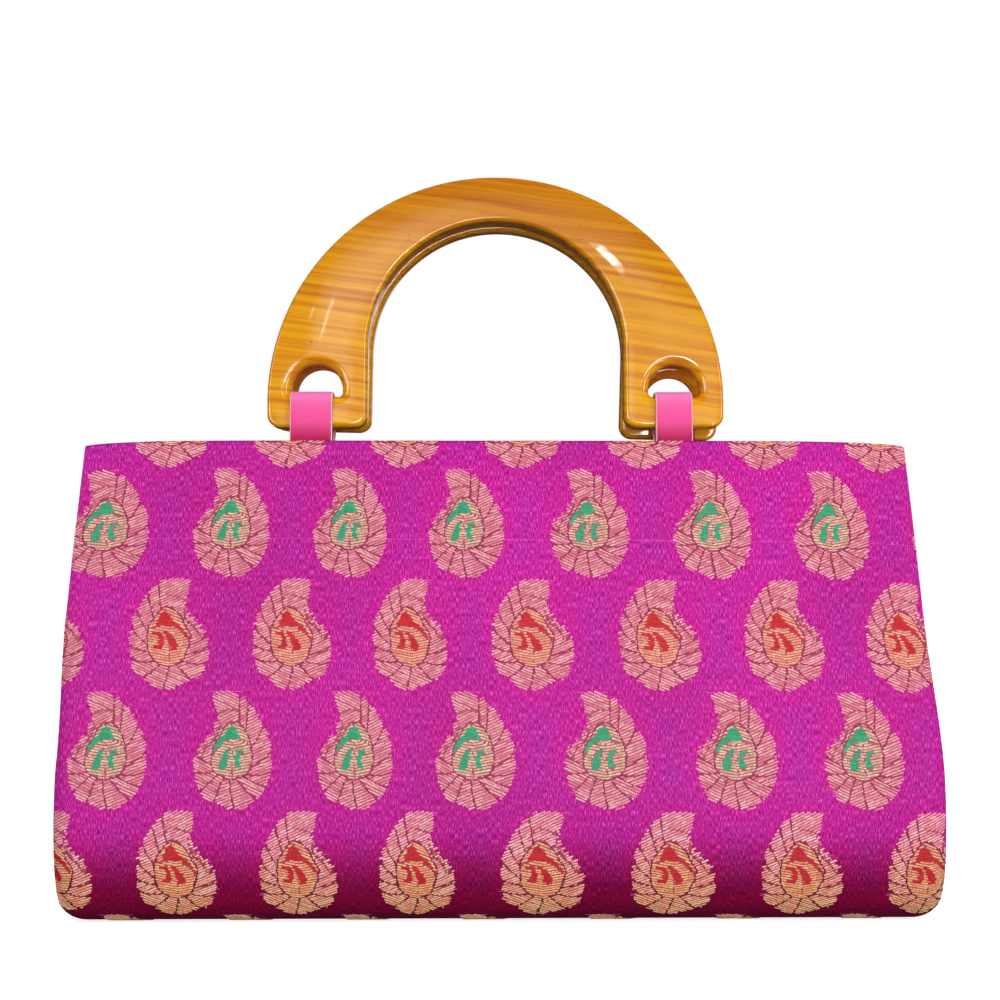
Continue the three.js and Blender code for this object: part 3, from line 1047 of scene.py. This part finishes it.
def clip_floats(ends, reach, length):
    """Cuts floats at the cloth's edges. Returns the cut ends and which floats are left."""
    start = ends[:, 0]
    run = ends[:, 1] - start
    run = np.where(np.abs(run) < SMALLEST_RUN, SMALLEST_RUN, run)
    side = reach(ends[:, :, 1].mean(axis=1))
    low = np.column_stack([-side, np.full(len(side), EDGE_MARGIN)])
    high = np.column_stack([side, np.full(len(side), length - EDGE_MARGIN)])
    to_low = (low - start) / run
    to_high = (high - start) / run
    enter = np.clip(np.minimum(to_low, to_high).max(axis=1), 0, 1)
    leave = np.clip(np.maximum(to_low, to_high).min(axis=1), 0, 1)
    cut = np.stack([start + run * enter[:, None], start + run * leave[:, None]], axis=1)
    left = (leave - enter) * np.linalg.norm(run, axis=1) > FLOAT_BREAK * MM
    return cut, left


def float_strips(ends, shapes, surface):
    """Raised floats: three points across each end, highest in the middle."""
    run = ends[:, 1] - ends[:, 0]
    unit = run / np.linalg.norm(run, axis=1)[:, None]
    aside = np.stack([-unit[:, 1], unit[:, 0]], axis=1)
    width, relief = shapes.T
    lanes = np.array([-0.5, 0.0, 0.5])
    spread = width[:, None] * MM * lanes
    strip = ends[:, :, None] + aside[:, None, None] * spread[:, None, :, None]
    ridge = np.array([0.0, 1.0, 0.0])
    lift = FLOAT_LIFT + FLOAT_RELIEF * ridge * relief[:, None, None]
    lift = np.broadcast_to(lift * MM, strip.shape[:3])
    points = surface(strip[..., 0].ravel(), strip[..., 1].ravel(), lift.ravel())
    step = np.array([[0, 1, 4, 3], [1, 2, 5, 4]])
    quads = (np.arange(len(ends)) * lift[0].size)[:, None, None] + step
    return points, quads.reshape(-1, 4)


def weft_line(width):
    """A thicker weft thread across the cloth, which shows as a row of small dots between the leaves."""
    across = np.arange(-width, width, WEFT_DOT_PITCH)
    down = WEFT_DOWN + WEFT_TILT * across
    start = np.column_stack([across, down])
    ends = np.stack([start, start + (WEFT_DOT, 0)], axis=1)
    return ends, yarn_shades("weft", len(ends)), np.tile([STRAY_WIDTH, STRAY_RELIEF], (len(ends), 1))


def laid_leaves(widest, length):
    """The floats of all leaves on a cloth of this size, and the patches under them."""
    floats = [weft_line(widest)]
    patches = []
    count = 0
    for centre, kind, drift in lattice(widest, length):
        to_cloth = np.array(LEAVES[kind]["stretch"]) * (MM, -MM)
        ends, shades, shapes = LEAF_KINDS[kind][rng.integers(LEAF_VARIANTS)]
        floats.append((drifted((ends - LEAF_CENTRE) * to_cloth + centre, drift), shades, shapes))
        points, quads = leaf_underlay(kind)
        quads = (quads if kind == "green" else quads[:, ::-1]) + count
        under = yarn_shades(kind + "_under", len(points))
        patches.append((drifted((points - LEAF_CENTRE) * to_cloth + centre, drift), quads, under))
        count += len(points)
    return [[np.concatenate(column) for column in zip(*rows)] for rows in (floats, patches)]


def clip_patches(points, quads, reach, length):
    """Draws the patches in to the cloth's edges. Returns their points and the quads that are left."""
    across, down = points.T
    side = reach(down)
    inside = (np.abs(across) < side) & (down > EDGE_MARGIN) & (down < length - EDGE_MARGIN)
    across = np.clip(across, -side, side)
    down = np.clip(down, EDGE_MARGIN, length - EDGE_MARGIN)
    return across, down, quads[inside[quads].any(axis=1)]


def woven_leaves(name, surface, reach, length, yarn):
    """Every leaf on one face as a mesh of raised floats. surface places points of the cloth, and reach
    gives half its width at a distance down from its top edge."""
    widest = float(reach(DOWN).max())
    (ends, shades, shapes), (patches, quads, under) = laid_leaves(widest, length)
    ends, left = clip_floats(ends, reach, length)
    ends = ends[left]
    float_points, float_quads = float_strips(ends, shapes[left], surface)
    across, down, quads = clip_patches(patches, quads, reach, length)
    patch_points = surface(across, down, np.full(len(patches), UNDERLAY_LIFT * MM))
    piece = mesh_piece(name, np.concatenate([float_points, patch_points]),
                       np.concatenate([float_quads, quads + len(float_points)]))
    mesh = piece.data
    tint = np.ones((len(mesh.vertices), 4), np.float32)
    # Painted highlight, reflection and shade on each float and underlay, by how far down the cloth it lies
    colours = painted_light_colours(shades[left], ends[:, :, 1].mean(axis=1))
    per_float = len(float_points) // len(colours)
    tint[:, :3] = np.concatenate([np.repeat(colours, per_float, axis=0), painted_light_colours(under, down)])
    mesh.color_attributes.new("yarn_colour", "FLOAT_COLOR", "POINT").data.foreach_set("color", tint.ravel())
    mesh.materials.append(yarn)
    merge = partial(bpy.ops.mesh.dissolve_degenerate, threshold=SMALLEST_EDGE)
    edit_whole(piece, bpy.ops.mesh.delete_loose, merge)
    bpy.ops.object.shade_smooth()
    return piece


def near_leaf(piece, reach, length):
    """Keeps on the cloth how near each point is to a leaf, for the pinker ground round the leaves."""
    mesh = piece.data
    measure = np.empty(len(mesh.loops) * 2, np.float32)
    mesh.uv_layers["cloth"].data.foreach_get("uv", measure)
    place = np.zeros((len(mesh.vertices), 2))
    place[corner_points(mesh)] = measure.reshape(-1, 2) * (1, -1)
    nearest = np.full(len(place), NEAR_REACH)
    for centre, _, drift in lattice(reach, length):
        away = np.hypot(*((place - drifted(centre, drift)) / (LEAF_HALF_WIDTH, LEAF_HALF_HEIGHT)).T)
        nearest = np.minimum(nearest, away)
    share = np.clip((NEAR_REACH - nearest) / (NEAR_REACH - 1), 0, 1).astype(np.float32)
    mesh.attributes.new("near_leaf", "FLOAT", "POINT").data.foreach_set("value", share)


# Cloth body

def wall_reach(down):
    """Half the wall's width between its hems, at a distance down from its top edge."""
    return half_width(height_at(down)) - EDGE_MARGIN


def gusset_reach(down):
    """Half the gusset's width at a distance down from its top edge."""
    return np.abs(gusset_edge(down)[:, 1])


def line_cloth(piece, thickness, silk, inside):
    """Gives a sheet of silk its thickness, with plain cloth inside."""
    piece.data.materials.append(silk)
    piece.data.materials.append(inside)
    apply_modifier(piece, "SOLIDIFY", thickness=thickness, offset=-1, use_even_offset=True, material_offset=1,
                   material_offset_rim=0)


def brocade_wrap(silk, inside):
    """Front, base and back as one wall of brocade, with a seam under the middle of the base."""
    def measure(across, down):
        back = down > 0.5
        length = np.where(back, 1 - down, down) * 2 * HALF_LENGTH
        turn = math.pi * SIDE_CROWDING
        share = np.sin((across - 0.5) * 2 * turn) / math.sin(turn)
        x = share * half_width(height_at(length))
        return x, length, back

    def place(across, down):
        x, length, back = measure(across, down)
        front = wall_points(x, length, 0.0, FACES["front"])
        behind = wall_points(-x, length, 0.0, FACES["back"])
        return np.where(back[:, None], behind, front)

    def weave(across, down, middle):
        x, length, _ = measure(across, down)
        return np.stack([np.where(middle > 0.5, -x, x), -length], axis=1)

    piece = grid_piece("brocade_cloth", WRAP_GRID, place, weave)
    near_leaf(piece, BULGE_HALF_WIDTH, HALF_LENGTH)
    line_cloth(piece, WALL, silk, inside)
    bevel_edges(piece, RIM_ROUND, segments=3)
    finish_piece(piece, "brocade", "brocade_wrap")
    return piece


def gusset(name, side, node, silk, inside):
    """One side, folded inwards along its middle."""
    def measure(across, down):
        length = down * GUSSET_LENGTH
        return (across - 0.5) * 2 * gusset_reach(length), length

    def place(across, down):
        return gusset_points(*measure(across, down), 0.0, side)

    def weave(across, down, middle):
        x, length = measure(across, down)
        return np.stack([x, -length], axis=1)

    piece = grid_piece(name, GUSSET_GRID, place, weave)
    near_leaf(piece, TURN_HALF_DEPTH, GUSSET_LENGTH)
    line_cloth(piece, GUSSET_WALL, silk, inside)
    finish_piece(piece, "side_cloth", node)
    return piece


# Handles

def arc(x, y, radius, start, end, steps):
    return np.array([x, y]) + polar(radius, np.linspace(start, end, steps + 1))


def handle_outline():
    """The arch seen from the front, with the feet's undersides at height 0."""
    outer_foot = HANDLE_RADIUS - FOOT_CORNER
    inner_foot = ARCH_RADIUS + FOOT_CORNER
    return np.concatenate([
        arc(0, FOOT_DROP, HANDLE_RADIUS, 180, 0, OUTER_STEPS),
        arc(outer_foot, FOOT_CORNER, FOOT_CORNER, 0, -90, CORNER_STEPS)[1:],
        arc(inner_foot, FOOT_CORNER, FOOT_CORNER, -90, -180, CORNER_STEPS),
        arc(0, FOOT_DROP + ARCH_RISE, ARCH_RADIUS, 0, 180, ARCH_STEPS),
        arc(-inner_foot, FOOT_CORNER, FOOT_CORNER, 0, -90, CORNER_STEPS),
        arc(-outer_foot, FOOT_CORNER, FOOT_CORNER, -90, -180, CORNER_STEPS)[:-1],
    ])


def slot_outline(centre):
    corner = SLOT_RADIUS - SLOT_CORNER
    return np.concatenate([
        arc(centre, BAR_HEIGHT + SLOT_STRAIGHT, SLOT_RADIUS, 0, 180, SLOT_STEPS)[:-1],
        arc(centre - corner, BAR_HEIGHT + SLOT_CORNER, SLOT_CORNER, 180, 270, SLOT_CORNER_STEPS),
        arc(centre + corner, BAR_HEIGHT + SLOT_CORNER, SLOT_CORNER, 270, 360, SLOT_CORNER_STEPS)[:-1],
    ])


def rounded_rings(outline, edge):
    """Rings from the front face over the rounded edges to the back face, all along one closed outline."""
    run = np.roll(outline, -1, axis=0) - np.roll(outline, 1, axis=0)
    out = np.stack([-run[:, 1], run[:, 0]], axis=1) / np.linalg.norm(run, axis=1)[:, None]
    rings = []
    turns = np.radians(np.linspace(90, 0, EDGE_STEPS + 1))
    for face, order in ((1, turns), (-1, turns[::-1])):
        for turn in order:
            inset = edge * (1 - math.cos(turn))
            depth = face * (HANDLE_THICKNESS / 2 - edge * (1 - math.sin(turn)))
            rings.append(np.column_stack([outline - out * inset[:, None], depth]))
    return np.array(rings)


def handle_edge(outline):
    """How far the edge is rounded: little outside, more round the hand's opening."""
    reach = np.hypot(outline[:, 0], np.maximum(outline[:, 1] - FOOT_DROP, 0))
    return np.interp(reach, [ARCH_RADIUS + FOOT_DROP, HANDLE_RADIUS - FOOT_CORNER], [INNER_EDGE, OUTER_EDGE])


def fill_flat(piece, numbers):
    """Fills the flat face between the rings of these vertices."""
    chosen = np.zeros(len(piece.data.vertices), bool)
    chosen[numbers] = True
    make_active(piece)
    bpy.ops.object.mode_set(mode="EDIT")
    bpy.ops.mesh.select_mode(type="VERT")
    bpy.ops.mesh.select_all(action="DESELECT")
    bpy.ops.object.mode_set(mode="OBJECT")
    piece.data.vertices.foreach_set("select", chosen)
    bpy.ops.object.mode_set(mode="EDIT")
    bpy.ops.mesh.fill(use_beauty=True)
    bpy.ops.object.mode_set(mode="OBJECT")


def back_slip():
    """The back handle hangs a little lower, tilts to the right and stands with its feet further back."""
    foot = Matrix.Translation((0, 0, FOOT_HEIGHT))
    top = Matrix.Translation((0, TOP_OFFSET, FOOT_HEIGHT + HANDLE_HEIGHT))
    slip = Matrix.Translation((0, 0, -BACK_DROP))
    lean = top @ Matrix.Rotation(BACK_LEAN, 4, "X") @ top.inverted()
    return slip @ foot @ Matrix.Rotation(BACK_TILT, 4, "Y") @ foot.inverted() @ lean


def arched_handle(name, face, node, lacquer):
    """A flat arch with a D slot in each foot, rounded all along its edges, leaning to the other handle."""
    outline = handle_outline()
    loops = [rounded_rings(outline, handle_edge(outline))]
    for centre in (-SLOT_CENTRE, SLOT_CENTRE):
        slot = slot_outline(centre)
        loops.append(rounded_rings(slot, np.full(len(slot), SLOT_EDGE)))
    points, quads, front, back = [], [], [], []
    count = 0
    for rings in loops:
        layers, around, _ = rings.shape
        quads.append(ring_quads(layers, around) + count)
        front.append(np.arange(around) + count)
        back.append(front[-1] + (layers - 1) * around)
        points.append(rings.reshape(-1, 3))
        count += len(points[-1])
    piece = mesh_piece(name, np.concatenate(points), np.concatenate(quads))
    fill_flat(piece, np.concatenate(front))
    fill_flat(piece, np.concatenate(back))
    edit_whole(piece, partial(bpy.ops.mesh.normals_make_consistent, inside=False))
    upright = Matrix.Rotation(math.pi / 2 - LEAN, 4, "X")
    stand = Matrix.Translation((0, -FOOT_OFFSET, FOOT_HEIGHT))
    place = stand @ upright
    if face > 0:
        place = back_slip() @ Matrix.Rotation(math.pi, 4, "Z") @ place
    piece.data.transform(place)
    piece.data.materials.append(lacquer)
    bpy.ops.object.shade_smooth()
    apply_modifier(piece, "WEIGHTED_NORMAL", weight=80)
    finish_piece(piece, "lacquered_handle", node)


# Straps

def strap_path():
    """A front strap's middle line as depth and height: up inside the wall, over the bar and down again."""
    def inside_wall(down, layer):
        inset = WALL + PIECE_GAP + STRAP_THICKNESS / 2 + layer
        spot = wall_points(np.array([SLOT_CENTRE]), np.array([down]), -inset, -1)[0]
        return np.array([spot[1], spot[2]])

    behind = STRAP_THICKNESS + PIECE_GAP
    bar = -FOOT_OFFSET + math.tan(LEAN) * BAR_HEIGHT / 2
    bend = BAR_EDGE + STRAP_CLEARANCE + STRAP_THICKNESS / 2
    reach = HANDLE_THICKNESS / 2 - BAR_EDGE
    bend_height = FOOT_HEIGHT + BAR_HEIGHT - BAR_EDGE
    back_run = bar + reach + bend
    return np.concatenate([
        [inside_wall(STRAP_TAIL, 0), inside_wall(STRAP_TAIL / 2, 0), inside_wall(0, 0)],
        arc(bar - reach, bend_height, bend, 180, 90, CORNER_STEPS),
        arc(bar + reach, bend_height, bend, 90, 0, CORNER_STEPS),
        [(back_run, FOOT_HEIGHT + bend), (back_run, FOOT_HEIGHT)],
        [(back_run - bend / 2, FOOT_HEIGHT - bend / 2)],
        [inside_wall(STRAP_TAIL * STRAP_JOIN_SHARE, behind), inside_wall(STRAP_TAIL, behind)],
    ])


def strap(name, face, side, node, leatherette, raw_edge):
    """A strap loop through one slot, which follows the handle where it hangs out of place."""
    path = strap_path()
    steps = np.linalg.norm(np.diff(path, axis=0), axis=1)
    length = np.concatenate([[0], np.cumsum(steps)])
    width, slip = (FRONT_STRAPS if face < 0 else BACK_STRAPS)[side]
    hang = back_slip() if face > 0 else Matrix()
    on_bar = Vector((side * SLOT_CENTRE, 0, FOOT_HEIGHT + BAR_HEIGHT))
    sag = np.array(hang @ on_bar - on_bar)

    def place(across, down):
        run = down * length[-1]
        depth = np.interp(run, length, path[:, 0])
        height = np.interp(run, length, path[:, 1])
        x = side * SLOT_CENTRE + slip - face * (across - 0.5) * width
        free = np.clip((height - BODY_HEIGHT) / (FOOT_HEIGHT - BODY_HEIGHT), 0, 1)
        return np.stack([x, -face * depth, height], axis=1) + free[:, None] * sag

    def weave(across, down, middle):
        return np.stack([across * width, down * length[-1]], axis=1)

    piece = grid_piece(name, STRAP_GRID, place, weave)
    piece.data.materials.append(leatherette)
    piece.data.materials.append(raw_edge)
    apply_modifier(piece, "SOLIDIFY", thickness=STRAP_THICKNESS, offset=0, use_even_offset=True,
                   material_offset_rim=1)
    bevel_edges(piece, STRAP_EDGE, segments=2, material=1)
    finish_piece(piece, "strap_leatherette", node)


# Stage, light and camera

def pale_stage():
    """A wide pale floor. It throws no light up under the purse."""
    deselect_all()
    bpy.ops.mesh.primitive_plane_add(size=FLOOR_SIZE)
    floor = bpy.context.object
    name_piece(floor, "pale_floor")
    floor.data.transform(Matrix.Translation((0, 0, -FLOOR_DROP)))
    finish = Finish("pale_paper")
    finish.set(Base_Color=grey(0.8), Roughness=0.9, Emission_Color=grey(1.0), Emission_Strength=FLOOR_GLOW)
    floor.data.materials.append(finish.material)
    floor.visible_diffuse = False
    floor.visible_glossy = False


def soft_room():
    """A surround that looks white, lights the purse gently from above and hardly shows in the lacquer."""
    world = bpy.data.worlds.new("soft_room")
    bpy.context.scene.world = world
    room = Nodes(world)
    height = room.part(room.add("TexCoord").outputs["Generated"], "Z")
    sky = room.rise(height, *ROOM_HEIGHTS, ROOM_BELOW, ROOM_ABOVE)
    seen = room.add("LightPath").outputs
    mirrored = room.rise(seen["Is Glossy Ray"], 0.0, 1.0, sky, ROOM_MIRRORED)
    strength = room.rise(seen["Is Camera Ray"], 0.0, 1.0, mirrored, 1.0)
    room.feed(room.tree.nodes["Background"], grey(1.0), strength)


def soft_light(name, place, aim, size, power, mirrored=False, roll=0.0):
    """A softbox that lights the matt surfaces, or a shape that only shows as a reflection."""
    lamp = bpy.data.lights.new(name, "AREA")
    lamp.shape = "RECTANGLE"
    lamp.size, lamp.size_y = size
    lamp.energy = power
    holder = bpy.data.objects.new(name, lamp)
    bpy.context.scene.collection.objects.link(holder)
    holder.location = place
    facing = (Vector(aim) - Vector(place)).to_track_quat("-Z", "Y").to_matrix().to_4x4()
    holder.rotation_euler = (facing @ Matrix.Rotation(math.radians(roll), 4, "Z")).to_euler()
    holder.visible_camera = False
    holder.visible_glossy = mirrored
    holder.visible_diffuse = not mirrored


def mirrored_light(name, across, down, size, glow, roll):
    """A small lit shape, placed so that the camera sees it mirrored at this spot on the front handle."""
    height = HANDLE_HEIGHT - down
    depth = FOOT_OFFSET + HANDLE_THICKNESS / 2 - math.tan(LEAN) * height
    spot = Vector((across, -depth, FOOT_HEIGHT + height))
    rise = max(height - BAND_CENTRE, 0)
    reach = math.hypot(across, rise)
    slope = 2 * DOME * (reach - BAND_MIDDLE)
    normal = Vector((slope * across / reach, -1, slope * rise / reach + math.tan(LEAN))).normalized()
    back = (Vector(CAMERA_PLACE) - spot).normalized()
    place = spot + (2 * normal.dot(back) * normal - back) * MIRRORED_DISTANCE
    soft_light(name, place, spot, size, glow * math.pi * size[0] * size[1], True, roll)


def studio_lights():
    for name, (place, size, power) in SOFTBOXES.items():
        soft_light(name, place, LIGHTS_AIM, size, power)
    for name, (place, size, power, roll) in REFLECTED_SHAPES.items():
        soft_light(name, place, LIGHTS_AIM, size, power, True, roll)
    away = WALL_AWAY
    for name, (across, height, wide, tall, glow) in MIRRORED_WALLS.items():
        for number, share in enumerate(WALL_SHARES):
            power = glow / len(WALL_SHARES) * math.pi * wide * tall * share ** 2
            soft_light(f"mirrored_wall_{name}_{number}", (across, -away, height), (across, 0, height),
                       (wide * share, tall * share), power, True)
            away += WALL_STEP
    for name, (across, down, size, glow, roll) in MIRRORED_SPOTS.items():
        mirrored_light(name, across, down, size, glow, roll)


def photo_camera():
    data = bpy.data.cameras.new("camera")
    data.lens = CAMERA_LENS
    data.sensor_width = CAMERA_SENSOR
    data.clip_start = CAMERA_NEAR
    camera = bpy.data.objects.new("camera", data)
    bpy.context.scene.collection.objects.link(camera)
    camera.location = CAMERA_PLACE
    camera.rotation_euler = [math.radians(angle) for angle in CAMERA_TURN]
    bpy.context.scene.camera = camera


photo_camera()
bpy.context.scene.view_settings.view_transform = "Standard"
soft_room()
studio_lights()
pale_stage()

SILK = silk_ground()
INSIDE = inner_cloth()
YARN_FINISH = woven_yarn()
wrap = brocade_wrap(SILK, INSIDE)
for face_name, face in FACES.items():
    on_wall = partial(wall_points, face=face)
    piece = woven_leaves("paisleys_" + face_name, on_wall, wall_reach, HALF_LENGTH, YARN_FINISH)
    finish_piece(piece, "brocade")
for side_name, side in SIDES.items():
    on_gusset = partial(gusset_points, side=side)
    cloth = gusset("cloth_gusset_" + side_name, side, "gusset_" + side_name, SILK, INSIDE)
    piece = woven_leaves("paisleys_" + side_name, on_gusset, gusset_reach, GUSSET_LENGTH, YARN_FINISH)
    finish_piece(piece, "side_cloth")

LACQUER = amber_lacquer()
LEATHERETTE = strap_leatherette()
RAW_EDGE = strap_raw_edge()
for face_name, face in FACES.items():
    arched_handle("lacquered_arch_" + face_name, face, "handle_" + face_name, LACQUER)
for face_name, face in FACES.items():
    for side_name, side in SIDES.items():
        spot = face_name + "_" + side_name
        strap("pink_strap_" + spot, face, side, "strap_" + spot, LEATHERETTE, RAW_EDGE)
